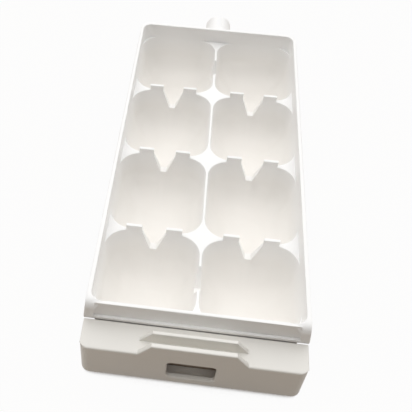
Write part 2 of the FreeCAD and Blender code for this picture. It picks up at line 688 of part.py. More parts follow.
def stop_buffer(word):
    """Rubber buffer with a stem in the bracket, just behind the closed latch plate."""
    body = new_body(f"stop_buffer_{word.lower()}")
    place = [BUFFERS[word]]
    studs(body, "Pad", "Head", place, "buffer_radius", f"{PLATE_BACK} + contact_gap", BRACKET_FRONT)
    studs(body, "Pad", "Stem", place, "buffer_stem", BRACKET_FRONT, "ledge_reach - contact_gap")
    return body


def arc_through(start, bend, end):
    """Arc from start to end whose tangents meet at the bend."""
    middle = (start + end) / 2
    half = (end - start).Length / 2
    turn = math.acos(min(1.0, half / (bend - start).Length))
    outwards = bend - middle
    if outwards.Length < half * 1e-6:
        return Part.LineSegment(start, end).toShape()
    return Part.Arc(start, middle + outwards.normalize() * half * math.tan(turn / 2), end).toShape()


def biarc(start, start_way, end, end_way):
    """Two arcs that leave start and reach end in the given unit directions."""
    span = end - start
    both = start_way + end_way
    spread = 2 * (1 - start_way.dot(end_way))
    along = span.dot(both)
    reach = (math.sqrt(along * along + spread * span.dot(span)) - along) / spread
    first, last = start + start_way * reach, end - end_way * reach
    middle = (first + last) / 2
    return [arc_through(start, first, middle), arc_through(middle, last, end)]


def return_spring(word, side):
    """Torsion spring: a leg up the latch plate, a coil round the pin and a leg into the bracket."""
    hand = int(side)
    radius, pitch, wire = number("coil_radius"), number("coil_pitch"), number("wire_radius")
    origin = Vector(hand * number(COIL_START), number(HINGE_Y), number(HINGE_Z))
    count = round(SPRING_TURNS * ARCS_PER_TURN)

    def place(step):
        angle = 2 * math.pi * step / ARCS_PER_TURN
        return origin + Vector(hand * pitch * step / ARCS_PER_TURN, radius * math.cos(angle),
                               -radius * math.sin(angle))

    def way(step):
        angle = 2 * math.pi * step / ARCS_PER_TURN
        advance = 0 if step in (0, count) else hand * pitch
        around = 2 * math.pi * radius
        return Vector(advance, -around * math.sin(angle), -around * math.cos(angle)).normalize()

    top = place(0) + Vector(0, 0, number("spring_leg"))
    tail = place(count)
    tip = Vector(tail.x, number("ledge_reach - contact_gap"), tail.z)
    edges = [Part.LineSegment(top, place(0)).toShape()]
    for step in range(count):
        edges += biarc(place(step), way(step), place(step + 1), way(step + 1))
    edges.append(Part.LineSegment(tail, tip).toShape())
    profile = Part.Wire(Part.Circle(top, Vector(0, 0, 1), wire).toShape())
    path = Part.Wire(edges)
    spring = doc.addObject("Part::Feature", f"return_spring_{word.lower()}")
    spring.Label = spring.Name
    spring.Shape = path.makePipeShell([profile], True, False)
    spring.setExpression("Placement.Base.y", size(FRAME_Y))
    spring.setExpression("Placement.Base.z", size("total_height"))
    print(spring.Label, "least gap between turns", round(least_gap(path, wire), 3))
    return spring


def least_gap(path, wire):
    """Least distance between the surfaces of parts of the wire that are more than half a turn apart."""
    step = wire / 2
    points = path.discretize(Distance=step)
    apart = int(math.pi * number("coil_radius") / step)
    best = math.inf
    for index, point in enumerate(points):
        for other in points[index + apart:]:
            best = min(best, point.distanceToPoint(other))
    return best - 2 * wire


pieces = [ice_tray(), front_lever(), lever_bracket(), latch_plate(), pin_clips()]
pieces.append(screws("bracket_screws", SCREWS, BRACKET_FRONT, "bracket_screw_length", "1"))
pieces.append(screws("latch_screws", POSTS, PLATE_BACK, "latch_screw_length", "-1"))
for word, side in SIDES:
    pieces += [hinge_pin(word, side), hinge_bush(word, side), stop_buffer(word), return_spring(word, side)]

doc.recompute()
for item in doc.Objects:
    if "Invalid" in item.State or "Error" in item.State:
        raise RuntimeError(f"{item.Label} did not compute")
os.makedirs("parts", exist_ok=True)
for piece in pieces:
    if piece.Shape.isNull() or not piece.Shape.isValid():
        raise RuntimeError(f"{piece.Label} is not a valid shape")
    piece.Shape.exportStep(f"parts/{piece.Label}.step")
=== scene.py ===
"""Lever ice cube tray: smooth moulded surfaces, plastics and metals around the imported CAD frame.

Every shape is worked out in the tray's own axes: x to the right, y back from the seam between the
tray and its lever, z up from the rim's top. settle() moves a finished shape into the frame.
"""
import math

import bmesh
import bpy
import numpy as np
from bpy.props import FloatProperty, FloatVectorProperty, PointerProperty
from mathutils import Euler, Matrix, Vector


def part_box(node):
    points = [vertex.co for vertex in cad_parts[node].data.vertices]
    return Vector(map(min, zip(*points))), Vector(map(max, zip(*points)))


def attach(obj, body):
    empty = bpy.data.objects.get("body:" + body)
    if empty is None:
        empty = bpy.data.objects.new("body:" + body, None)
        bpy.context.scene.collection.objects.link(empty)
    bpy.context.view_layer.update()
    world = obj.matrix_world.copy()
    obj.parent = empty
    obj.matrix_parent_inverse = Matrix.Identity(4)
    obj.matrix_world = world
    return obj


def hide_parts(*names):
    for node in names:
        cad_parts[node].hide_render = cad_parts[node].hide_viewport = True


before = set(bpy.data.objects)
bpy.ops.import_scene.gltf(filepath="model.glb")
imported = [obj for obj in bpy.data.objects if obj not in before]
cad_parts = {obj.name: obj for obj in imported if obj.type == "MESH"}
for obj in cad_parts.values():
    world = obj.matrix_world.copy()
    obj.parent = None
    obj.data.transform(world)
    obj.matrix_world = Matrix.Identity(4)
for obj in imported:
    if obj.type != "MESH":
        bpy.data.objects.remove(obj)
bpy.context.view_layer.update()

bl_info = {
    "name": "Lever ice cube tray",
    "version": (1, 0, 0),
    "blender": (4, 5, 0),
    "location": "3D View > Sidebar > Ice tray",
    "description": "Builds a freezer ice cube tray with its sprung front lever",
    "category": "Object",
}

MM = 0.001
TRAY_LOW, TRAY_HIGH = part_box("ice_tray")
LEVER_LOW, LEVER_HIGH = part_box("front_lever")
SEAM_Y = TRAY_LOW.y
RIM_Z = TRAY_HIGH.z
PHOTO_SIDE = 412
ROW_COUNT = 4
SHARP_ANGLE = math.radians(35)
MERGE_REACH = 0.002 * MM
NORMAL_WEIGHT = 60
TINY = 1e-9


# Sizes and colours that a user may change

def length(name, description, default):
    """A length in metres for a property group."""
    return FloatProperty(name=name, description=description, default=default, min=0.0,
                         unit="LENGTH", subtype="DISTANCE", precision=5)


def colour(name, description, default):
    """A linear colour for a property group."""
    return FloatVectorProperty(name=name, description=description, default=default, size=3,
                               min=0.0, max=1.0, subtype="COLOR")


class TraySizes(bpy.types.PropertyGroup):
    """Sizes of the moulded tray."""
    rim_width: length("Rim width", "Outer width of the rim at its top", 100 * MM)
    rim_back: length("Rim back", "From the seam to the rim's outer back face", 215.4 * MM)
    rim_wall: length("Rim wall", "Thickness of the rim's side walls", 2 * MM)
    rim_flare: length("Rim flare", "How far the side walls' foot stands out past their top", 0.8 * MM)
    front_face: length("Front face", "From the seam to the front wall's outer face", 1.2 * MM)
    front_inner: length("Front inner face", "From the seam to the front wall's inner face", 3 * MM)
    back_inner: length("Back inner face", "From the seam to the back wall's inner face", 213.3 * MM)
    deck_drop: length("Deck drop", "From the rim's top down to the dividers", 9.5 * MM)
    deck_thick: length("Deck thickness", "Thickness of the flat parts between cells", 1.6 * MM)
    first_divider: length("First divider", "From the seam to the first divider", 51.6 * MM)
    row_pitch: length("Row pitch", "Distance between dividers", 54.2 * MM)
    divider: length("Divider thickness", "Thickness of a divider's crest", 1.8 * MM)
    web: length("Web thickness", "Thickness of the crest between the two columns", 1.4 * MM)
    cell_corner: length("Cell corner", "Corner radius of a cell's mouth", 11 * MM)
    cell_wall: length("Cell wall", "Wall outside a cell", 1.3 * MM)
    notch_half: length("Notch half width", "Half width of a divider's notch at its top", 6 * MM)
    notch_depth: length("Notch depth", "Depth of a divider's notch", 12 * MM)
    tab_height: length("Tab height", "Height of the tabs beside a notch", 3.6 * MM)
    ear_round: length("Ear rounding", "Radius of the rim's rounded front ends", 4.5 * MM)


class LeverSizes(bpy.types.PropertyGroup):
    """Sizes of the front lever's shell."""
    wall: length("Wall", "Thickness of the shell", 2 * MM)
    corner: length("Front corner", "Radius of the two upright front corners", 4 * MM)
    lower_round: length("Lower rounding", "Radius of the lower front edge", 3 * MM)
    top_round: length("Upper rounding", "Radius of the upper front edge", 1.5 * MM)
    ridge_base: length("Ridge base", "Half width of a grip ridge at its foot", 24.5 * MM)
    ridge_top: length("Ridge top", "Half width of a grip ridge at its top", 18.5 * MM)
    window_half: length("Window half width", "Half width of the window", 11 * MM)
    window_height: length("Window height", "Height of the window", 12.8 * MM)


class Finishes(bpy.types.PropertyGroup):
    """Colours of the materials."""
    tray: colour("Tray", "Plastic of the tray", (0.98, 0.975, 0.965))
    lever: colour("Lever", "Plastic of the lever", (0.84, 0.82, 0.775))
    bracket: colour("Bracket", "Plastic of the bracket and latch plate", (0.60, 0.49, 0.41))
    bush: colour("Bush", "Plastic of the hinge bushes", (0.80, 0.78, 0.70))
    steel: colour("Steel", "Screws, pins, clips and springs", (0.55, 0.56, 0.58))
    rubber: colour("Rubber", "Stop buffers", (0.03, 0.03, 0.032))
    # The floor colour lights the pieces by bounce and shows to the camera only as the painted contact
    # shadow under the tray.
    floor: colour("Floor", "Floor and backdrop", (0.30, 0.22, 0.14))


# Mesh helpers

def grid(points, wrap_rows=True, wrap_columns=True):
    """Vertices and quads of a grid of points, first index along columns, second along rows."""
    columns, rows = points.shape[:2]
    column = np.arange(columns if wrap_columns else columns - 1)
    row = np.arange(rows if wrap_rows else rows - 1)
    first, second = np.meshgrid(column, row, indexing="ij")
    after, above = (first + 1) % columns, (second + 1) % rows
    corners = [first * rows + second, after * rows + second, after * rows + above, first * rows + above]
    return points.reshape(-1, 3), np.stack([corner.ravel() for corner in corners], axis=1)


def settle(points):
    """Move points from the tray's own axes into the frame."""
    return points + np.array([0.0, SEAM_Y, RIM_Z])


def new_piece(name, parts):
    """Mesh object from closed parts, each with its doubles merged and its faces outwards."""
    whole = bmesh.new()
    part_mesh = bpy.data.meshes.new("part")
    for vertices, faces in parts:
        part_mesh.clear_geometry()
        part_mesh.from_pydata(settle(vertices).tolist(), [], faces.tolist())
        work = bmesh.new()
        work.from_mesh(part_mesh)
        bmesh.ops.remove_doubles(work, verts=work.verts, dist=MERGE_REACH)
        bmesh.ops.dissolve_degenerate(work, edges=work.edges, dist=MERGE_REACH)
        bmesh.ops.recalc_face_normals(work, faces=work.faces)
        work.to_mesh(part_mesh)
        work.free()
        whole.from_mesh(part_mesh)
    bpy.data.meshes.remove(part_mesh)
    mesh = bpy.data.meshes.new(name)
    whole.to_mesh(mesh)
    whole.free()
    mesh.shade_smooth()
    mesh.set_sharp_from_angle(angle=SHARP_ANGLE)
    piece = bpy.data.objects.new(name, mesh)
    bpy.context.scene.collection.objects.link(piece)
    return piece


def apply_modifiers(piece):
    """Keep the mesh that the modifiers give and take them off."""
    graph = bpy.context.evaluated_depsgraph_get()
    mesh = bpy.data.meshes.new_from_object(piece.evaluated_get(graph))
    piece.modifiers.clear()
    piece.data = mesh


def weigh_normals(piece):
    """Keep broad flat faces flat beside small roundings."""
    bend = piece.modifiers.new("Flat faces", "WEIGHTED_NORMAL")
    bend.keep_sharp = True
    bend.weight = NORMAL_WEIGHT


def rounded_block(low, high, radius, steps=3):
    """Box with every edge rounded.

    A column goes round the plan, a rectangle whose corners are arcs. A row goes up the side: at a
    turn t the outline is drawn in by radius * (1 - cos t) and stands radius * (1 - sin t) inside the
    end face, and the two end faces close on their middles.
    """
    low, high = np.array(low), np.array(high)
    middle, half = (low + high) / 2, (high - low) / 2
    turns = np.linspace(0, math.pi / 2, steps + 1)
    angles = np.concatenate([quarter * math.pi / 2 + turns for quarter in range(4)])
    quarter = np.repeat(np.arange(4), steps + 1)
    across = np.array([1, -1, -1, 1])[quarter]
    along = np.array([1, 1, -1, -1])[quarter]
    rise = np.concatenate([-turns[::-1], turns])
    inset = radius * (1 - np.cos(rise))
    level = np.concatenate([-half[2] + radius * (1 + np.sin(rise[:steps + 1])),
                            half[2] - radius * (1 - np.sin(rise[steps + 1:]))])
    reach = radius - inset
    x = across[:, None] * (half[0] - radius) + np.cos(angles)[:, None] * reach
    y = along[:, None] * (half[1] - radius) + np.sin(angles)[:, None] * reach
    z = np.broadcast_to(level, x.shape)
    side = np.stack([x, y, z], axis=2)
    below = np.zeros((len(angles), 1, 3))
    below[:, :, 2] = -half[2]
    above = -below
    points = np.concatenate([below, side, above], axis=1) + middle
    return grid(points, wrap_rows=False)


def closed_tube(points):
    """Grid of sections one after another, the first and the last closed on their own middles."""
    ends = [np.repeat(points[index].mean(axis=0)[None, None], points.shape[1], axis=1)
            for index in (0, -1)]
    return grid(np.concatenate([ends[0], points, ends[1]]), wrap_columns=False)


# Tray

BEYOND_NOTCH_COLUMNS = 5
NOTCH_SLOPE_COLUMNS = 7


def side_fractions(straight, notch, floor, depth_shrink):
    """Places on a side as fractions of its half length, with columns at a notch's corners."""
    beyond = np.linspace(notch / straight, 1, BEYOND_NOTCH_COLUMNS)
    slope = np.linspace(floor / (straight - depth_shrink), notch / straight, NOTCH_SLOPE_COLUMNS)
    half = np.concatenate([[0.0], slope, beyond[1:]])
    return np.concatenate([-half[:0:-1], half])


class Loop:
    """Columns round a rounded rectangle.

    A column's point for half sizes (a, b) and corner radius r is
    (gx * (a - r) + nx * r, gy * (b - r) + ny * r): g is +-1 at a corner and a fraction along a side,
    and n is the outward direction.
    """

    def __init__(self, along_x, along_y, arc_steps=16):
        turns = np.linspace(0, math.pi / 2, arc_steps + 1)
        zeros_x, ones_x = np.zeros(len(along_x) - 2), np.ones(len(along_x) - 2)
        zeros_y, ones_y = np.zeros(len(along_y) - 2), np.ones(len(along_y) - 2)
        pieces = []

        def add(gx, gy, nx, ny, share):
            pieces.append(np.stack([gx, gy, nx, ny, share]))

        def corner(sign_x, sign_y, start):
            angle = start + turns
            full = np.ones(len(turns))
            rising = turns / (math.pi / 2)
            share = rising if start in (0.0, math.pi) else 1 - rising
            add(sign_x * full, sign_y * full, np.cos(angle), np.sin(angle), share)

        add(ones_y, along_y[1:-1], ones_y, zeros_y, zeros_y)
        corner(1, 1, 0.0)
        add(along_x[-2:0:-1], ones_x, zeros_x, ones_x, ones_x)
        corner(-1, 1, math.pi / 2)
        add(-ones_y, along_y[-2:0:-1], -ones_y, zeros_y, zeros_y)
        corner(-1, -1, math.pi)
        add(along_x[1:-1], -ones_x, zeros_x, -ones_x, ones_x)
        corner(1, -1, 3 * math.pi / 2)
        self.gx, self.gy, self.nx, self.ny, self.share = np.concatenate(pieces, axis=1)

    def at(self, half_x, half_y, corner):
        """Points of all columns; the sizes may be arrays of columns by rows."""
        def spread(values, size):
            return values[:, None] if np.ndim(size) == 2 else values
        gx, gy = spread(self.gx, half_x), spread(self.gy, half_x)
        nx, ny = spread(self.nx, half_x), spread(self.ny, half_x)
        return gx * (half_x - corner) + nx * corner, gy * (half_y - corner) + ny * corner


STRAIGHT_DEPTH = 10.5 * MM
DRAFT = 1.0 * MM
FLOOR_HALF_X = 7.8 * MM
FLOOR_HALF_Y = 7.0 * MM
FLOOR_CORNER = 3.0 * MM
NOTCH_FLOOR = 1.6 * MM
WEB_NOTCH_HALF = 7.0 * MM
WEB_NOTCH_DEPTH = 11.0 * MM
WALL_SLOPE = 0.4 * MM
CREST_ROUND = 0.45 * MM
HIDDEN = 0.8 * MM
FLOOR_THICK = 1.5 * MM
CORNER_SHRINK = 0.6 * MM
NOTCH_SHRINK = 0.4 * MM
SQUARE_ON = 0.999
CREST_ROUNDS = 3
EDGE_ROWS = 5
INNER_ROWS = 29
OUTER_ROWS = 19
FLOOR_SHARES = (0.93, 0.5, 0.0)


def cell_section(place, half_x, half_y, corner, bowl_depth):
    """Half sizes, corner radius and depth of a cell's section at a place from 0 to 2 down its profile.

    From 0 to 1 the walls are straight and draw in by the draft. From 1 to 2 the section turns to the
    floor on an ellipse: at a turn t its half size is the floor's plus the reach times cos t, and its
    depth is the bowl's times sin t.
    """
    straight = np.clip(place, 0, 1)
    turn = np.clip(place - 1, 0, 1) * math.pi / 2
    wide = half_x - DRAFT * straight
    long = half_y - DRAFT * straight
    radius = corner - CORNER_SHRINK * straight
    share = np.cos(turn)
    return (FLOOR_HALF_X + (wide - FLOOR_HALF_X) * share,
            FLOOR_HALF_Y + (long - FLOOR_HALF_Y) * share,
            FLOOR_CORNER + (radius - FLOOR_CORNER) * share,
            STRAIGHT_DEPTH * straight + bowl_depth * np.sin(turn))


def place_at_depth(depth, bowl_depth):
    """Place on a cell's profile that lies at a depth below the deck."""
    turn = np.arcsin(np.clip((depth - STRAIGHT_DEPTH) / bowl_depth, 0, 1))
    return np.where(depth < STRAIGHT_DEPTH, depth / STRAIGHT_DEPTH, 1 + turn / (math.pi / 2))


def notch_fall(place, half, depth):
    """Depth of a V notch with a flat bottom at a distance from its middle."""
    return depth * np.clip((half - np.abs(place)) / (half - NOTCH_FLOOR), 0, 1)


def cell(sizes, row, side):
    """One closed cell with its share of the dividers: crest, inner wall, floor, outer wall, underside.

    A column goes round the cell and a row runs from the middle of the crest down the inside to the
    middle of the floor, back up the outside and under the crest to where it began.
    """
    outer = sizes.rim_width / 2 - sizes.rim_wall - WALL_SLOPE
    half_x = (outer - sizes.web / 2) / 2
    start = sizes.first_divider + (row - 1) * sizes.row_pitch + sizes.divider / 2
    if row == 0:
        start = sizes.front_inner
    end = sizes.first_divider + row * sizes.row_pitch - sizes.divider / 2
    half_y = (end - start) / 2
    centre = np.array([side * (outer + sizes.web / 2) / 2, (start + end) / 2])
    total = -(TRAY_LOW.z - RIM_Z)
    bowl_depth = total - FLOOR_THICK - sizes.deck_drop - STRAIGHT_DEPTH
    corner = sizes.cell_corner
    loop = Loop(side_fractions(half_x - corner, sizes.notch_half, NOTCH_FLOOR, NOTCH_SHRINK),
                side_fractions(half_y - corner, WEB_NOTCH_HALF, NOTCH_FLOOR, NOTCH_SHRINK))
    on_front, on_back = loop.gy * loop.share <= -1, loop.gy * loop.share >= 1
    on_web = loop.nx * -side > SQUARE_ON
    divider = (on_front & (row > 0)) | (on_back & (row < ROW_COUNT - 1))
    crest = np.zeros(len(loop.gx))
    for _ in range(CREST_ROUNDS):
        here = place_at_depth(crest, bowl_depth)
        wide, long, radius, _depth = cell_section(here, half_x, half_y, corner, bowl_depth)
        x, y = loop.at(wide, long, radius)
        crest = np.where(divider, notch_fall(x, sizes.notch_half, sizes.notch_depth), 0.0)
        if row in (0, ROW_COUNT - 1):
            crest = np.where(on_web, notch_fall(y, WEB_NOTCH_HALF, WEB_NOTCH_DEPTH), crest)
    reach_x = np.where(loop.gx * side > 0, half_x + HIDDEN, half_x + sizes.web / 2)
    front_reach = half_y + (HIDDEN if row == 0 else sizes.divider / 2)
    back_reach = half_y + (HIDDEN if row == ROW_COUNT - 1 else sizes.divider / 2)
    reach_y = np.where(loop.gy < 0, front_reach, back_reach)
    turn = loop.share
    in_corner = (np.abs(loop.gx) == 1) & (np.abs(loop.gy) == 1)
    corner_x, corner_y = wide - radius, long - radius
    near_x = np.where(turn < 0.5, reach_x, reach_x + (corner_x - reach_x) * (2 * turn - 1))
    near_y = np.where(turn < 0.5, corner_y + (reach_y - corner_y) * 2 * turn, reach_y)
    middle_x = np.where(in_corner, np.sign(loop.gx) * near_x,
                        np.where(np.abs(loop.nx) > SQUARE_ON, np.sign(loop.nx) * reach_x, x))
    middle_y = np.where(in_corner, np.sign(loop.gy) * near_y,
                        np.where(np.abs(loop.ny) > SQUARE_ON, np.sign(loop.ny) * reach_y, y))
    edge_side = np.where(loop.gx * side > 0, 0.0, 1.0)
    edge_front = 0.0 if row == 0 else 1.0
    edge_back = 0.0 if row == ROW_COUNT - 1 else 1.0
    edge_end = np.where(loop.gy < 0, edge_front, edge_back)
    edge = CREST_ROUND * (edge_side * (1 - turn) + edge_end * turn)
    rows_x, rows_y, rows_z = [middle_x], [middle_y], [-crest]
    for angle in np.linspace(0, math.pi / 2, EDGE_ROWS):
        off = edge * (1 - math.sin(angle))
        down = edge * (1 - math.cos(angle))
        px, py = loop.at(wide + off, long + off, radius + off)
        rows_x.append(px)
        rows_y.append(py)
        rows_z.append(-crest - down)
    first = place_at_depth(crest + edge, bowl_depth)
    for step in np.linspace(0, 1, INNER_ROWS)[1:]:
        here = first + (2 - first) * step
        a, b, r, depth = cell_section(here, half_x, half_y, corner, bowl_depth)
        px, py = loop.at(a, b, r)
        rows_x.append(px)
        rows_y.append(py)
        rows_z.append(-depth)
    floor_x, floor_y, floor_z = rows_x[-1], rows_y[-1], rows_z[-1]
    for share in FLOOR_SHARES:
        rows_x.append(floor_x * share)
        rows_y.append(floor_y * share)
        rows_z.append(floor_z)
    wall = sizes.cell_wall
    under = -total + sizes.deck_drop
    last = place_at_depth(crest + sizes.deck_thick, bowl_depth)
    for share in FLOOR_SHARES[::-1]:
        rows_x.append((floor_x + loop.nx * wall) * share)
        rows_y.append((floor_y + loop.ny * wall) * share)
        rows_z.append(np.full(len(x), under))
    for step in np.linspace(1, 0, OUTER_ROWS):
        here = last + (2 - last) * step
        a, b, r, depth = cell_section(here, half_x, half_y, corner, bowl_depth)
        px, py = loop.at(a + wall, b + wall, r + wall)
        bowl_share = (depth > STRAIGHT_DEPTH) * (depth - STRAIGHT_DEPTH) / bowl_depth
        rows_x.append(px)
        rows_y.append(py)
        rows_z.append(-(depth + bowl_share * (-under - STRAIGHT_DEPTH - bowl_depth)))
    rows_x.append(middle_x)
    rows_y.append(middle_y)
    rows_z.append(-crest - sizes.deck_thick)
    points = np.stack([np.stack(rows_x, 1) + centre[0], np.stack(rows_y, 1) + centre[1],
                       np.stack(rows_z, 1) - sizes.deck_drop], axis=2)
    return grid(points)


def tabs(sizes):
    """Two small raised blocks beside each divider's notch."""
    outer = sizes.rim_width / 2 - sizes.rim_wall - WALL_SLOPE
    column = (outer + sizes.web / 2) / 2
    half_y = sizes.divider / 2 - 0.02 * MM
    width, sunk, edge = 8 * MM, 0.6 * MM, 0.3 * MM
    parts = []
    for divider in range(ROW_COUNT - 1):
        y = sizes.first_divider + divider * sizes.row_pitch
        for side in (-1, 1):
            for sign in (-1, 1):
                near = side * column + sign * sizes.notch_half
                far = near + sign * width
                low = (min(near, far), y - half_y, -sizes.deck_drop - sunk)
                high = (max(near, far), y + half_y, -sizes.deck_drop + sizes.tab_height)
                parts.append(rounded_block(low, high, edge))
    return parts


def ear_drop(points, sizes):
    """Lower the ears' tops on an arc as they come forward, less and less down to the deck."""
    radius = sizes.ear_round
    ahead = np.clip(radius - points[..., 1], 0, radius)
    fall = radius - np.sqrt(np.maximum(radius ** 2 - ahead ** 2, 0))
    share = np.clip(1 + points[..., 2] / sizes.deck_drop, 0, 1)
    lowered = points.copy()
    lowered[..., 2] -= fall * share
    return lowered


def rim(sizes):
    """Rim band, ledge and ears as one closed ring.

    A column goes round the tray and a row goes from the foot of the inner wall up, over the rim and
    down the outer wall. Each row is a rounded rectangle, so the wall between two rows is ruled. In
    front, the outer points stand at the front wall or, on the ears and the ledge, at the seam.
    """
    ear = 45.8 * MM
    half = sizes.rim_width / 2
    outer_corner_front, outer_corner = 0.6 * MM, 6 * MM
    inner_half, inner_corner = half - sizes.rim_wall, 5 * MM
    sides = np.concatenate([np.linspace(-1, -0.9, 9)[:-1], np.linspace(-0.9, 1, 24)])
    straight_x = half - outer_corner_front
    stops = np.array([-ear, -ear, ear, ear]) / straight_x
    front = np.concatenate([np.linspace(-1, stops[0], 4), np.linspace(stops[1], stops[2], 30),
                            np.linspace(stops[3], 1, 4)])
    loop = Loop(front, sides, arc_steps=8)
    in_front = loop.gy * loop.share <= -1
    is_ear = ~in_front | (np.abs(loop.gx * straight_x) > ear + TINY)
    ends = np.flatnonzero(in_front & (np.abs(np.abs(loop.gx * straight_x) - ear) < TINY))
    is_ear[[ends[0], ends[-1]]] = True
    is_front_wall = in_front & ~is_ear
    ahead = loop.gy < 0

    def outline(half_x, front_y, back_y, corner_front, corner_back):
        centre, half_y = (front_y + back_y) / 2, (back_y - front_y) / 2
        corner = np.where(ahead, corner_front, corner_back)
        px, py = loop.at(half_x, half_y, corner)
        return px, py + centre

    inner_x, inner_y = outline(inner_half, sizes.front_inner, sizes.back_inner,
                               inner_corner, inner_corner)
    foot_x, foot_y = outline(inner_half - WALL_SLOPE, sizes.front_inner, sizes.back_inner,
                             inner_corner, inner_corner + 2 * MM)
    top_x, top_y = outline(half, 0.0, sizes.rim_back, outer_corner_front, outer_corner)
    wide = half + sizes.rim_flare
    low_x, low_y = outline(wide, 0.0, sizes.rim_back, outer_corner_front, outer_corner)
    face_y = np.where(is_front_wall, sizes.front_face, top_y)
    deck, under = -sizes.deck_drop, -sizes.deck_drop - sizes.deck_thick
    rows = [(foot_x, foot_y, under), (foot_x, foot_y, deck)]
    away_x, away_y = top_x - inner_x, face_y - inner_y
    span = np.hypot(away_x, away_y)
    away_x, away_y = away_x / span, away_y / span
    edge = 0.5 * MM
    for angle in np.linspace(0, math.pi / 2, EDGE_ROWS):
        off = edge * (1 - math.cos(angle))
        rows.append((inner_x + away_x * off, inner_y + away_y * off, -edge * (1 - math.sin(angle))))
    for share in np.linspace(0, 1, 8)[1:-1]:
        off = edge + (span - 2 * edge) * share
        rows.append((inner_x + away_x * off, inner_y + away_y * off, 0.0))
    for angle in np.linspace(math.pi / 2, 0, EDGE_ROWS):
        off = edge * (1 - math.cos(angle))
        rows.append((top_x - away_x * off, face_y - away_y * off, -edge * (1 - math.sin(angle))))
    wall_foot_y = np.where(is_front_wall, face_y, low_y)
    for share in (0.25, 0.5, 0.75):
        px = top_x + (low_x - top_x) * share
        py = face_y + (wall_foot_y - face_y) * share
        rows.append((px, py, deck * share))
    rows.append((low_x, wall_foot_y, deck))
    rows.append((low_x, low_y, deck))
    rows.append((low_x, low_y, under))
    points = np.stack([np.stack([px, py, np.broadcast_to(pz, px.shape)], axis=1)
                       for px, py, pz in rows], axis=1)
    ears = np.where((is_ear & ahead)[:, None, None], ear_drop(points, sizes), points)
    return [grid(ears)]


def pivot_boss(sizes):
    """Round boss behind the back wall: a ring at its root, then two half tubes with a slot between.

    At a radius r and an angle a from the top a point stands at r sin a across and r cos a up. A half
    tube begins where r sin a is half the slot, so the slot's faces are flat.
    """
    inner, outer, slot_half = 5.8 * MM, 8 * MM, 1.5 * MM
    root, split, end = sizes.rim_back - 0.5 * MM, sizes.rim_back + 3 * MM, TRAY_HIGH.y - SEAM_Y
    overlap = 0.1 * MM
    drop, edge = -8 * MM, 0.5 * MM
    parts = []

    def profile(start, finish):
        turns = np.linspace(0, math.pi / 2, 4)
        radii = np.concatenate([[inner], inner + edge * (1 - np.cos(turns)),
                                outer - edge * (1 - np.cos(turns[::-1])), [outer]])
        places = np.concatenate([[start], finish - edge * (1 - np.sin(turns)),
                                 finish - edge * (1 - np.sin(turns[::-1])), [start]])
        return radii, places

    def turned(radii, places, angles):
        x = radii * np.sin(angles)
        z = drop + radii * np.cos(angles)
        return np.stack([x, np.broadcast_to(places, x.shape), z], axis=2)

    full = np.linspace(0, 2 * math.pi, 65)[:-1, None]
    radii, places = np.array([inner, inner, outer, outer]), np.array([root, split, split, root])
    parts.append(grid(turned(radii, places, full)))
    radii, places = profile(split - overlap, end)
    for side in (0, math.pi):
        gap = np.arcsin(slot_half / radii)
        share = np.linspace(0, 1, 33)[:, None]
        angles = side + gap + (math.pi - 2 * gap) * share
        parts.append(closed_tube(turned(radii, places, angles)))
    return parts


def tray_supports(sizes):
    """Front apron and the plate that carries the pivot, both as plain plates."""
    edge = 0.3 * MM
    under = -sizes.deck_drop - 0.4 * MM
    apron_half, apron_foot = 46 * MM, -35 * MM
    plate_half, plate_foot = 13 * MM, -19 * MM
    apron = rounded_block((-apron_half, sizes.front_face, apron_foot),
                          (apron_half, sizes.front_inner, under), edge)
    plate = rounded_block((-plate_half, sizes.back_inner + 0.2 * MM, plate_foot),
                          (plate_half, sizes.rim_back + 0.3 * MM, under), edge)
    return [apron, plate]


# Lever

def soften(corners, radii, steps):
    """Cross sections whose corners are rounded, from arrays of sections by corners by two.

    Each corner becomes a curve from one tangent point to the next, B(s) = (1-s)^2 A + 2s(1-s) P +
    s^2 C, and the tangent points lie the radius from the corner, or 0.45 of the shorter side.
    """
    before, after = np.roll(corners, 1, axis=1), np.roll(corners, -1, axis=1)
    back, ahead = before - corners, after - corners
    back_length = np.linalg.norm(back, axis=2, keepdims=True)
    ahead_length = np.linalg.norm(ahead, axis=2, keepdims=True)
    reach = np.minimum(radii[..., None], 0.45 * np.minimum(back_length, ahead_length))
    start = corners + back / np.maximum(back_length, 1e-9) * reach
    finish = corners + ahead / np.maximum(ahead_length, 1e-9) * reach
    share = np.linspace(0, 1, steps + 1)[None, None, :, None]
    curve = ((1 - share) ** 2 * start[:, :, None] + 2 * share * (1 - share) * corners[:, :, None]
             + share ** 2 * finish[:, :, None])
    return curve.reshape(len(corners), -1, 2)


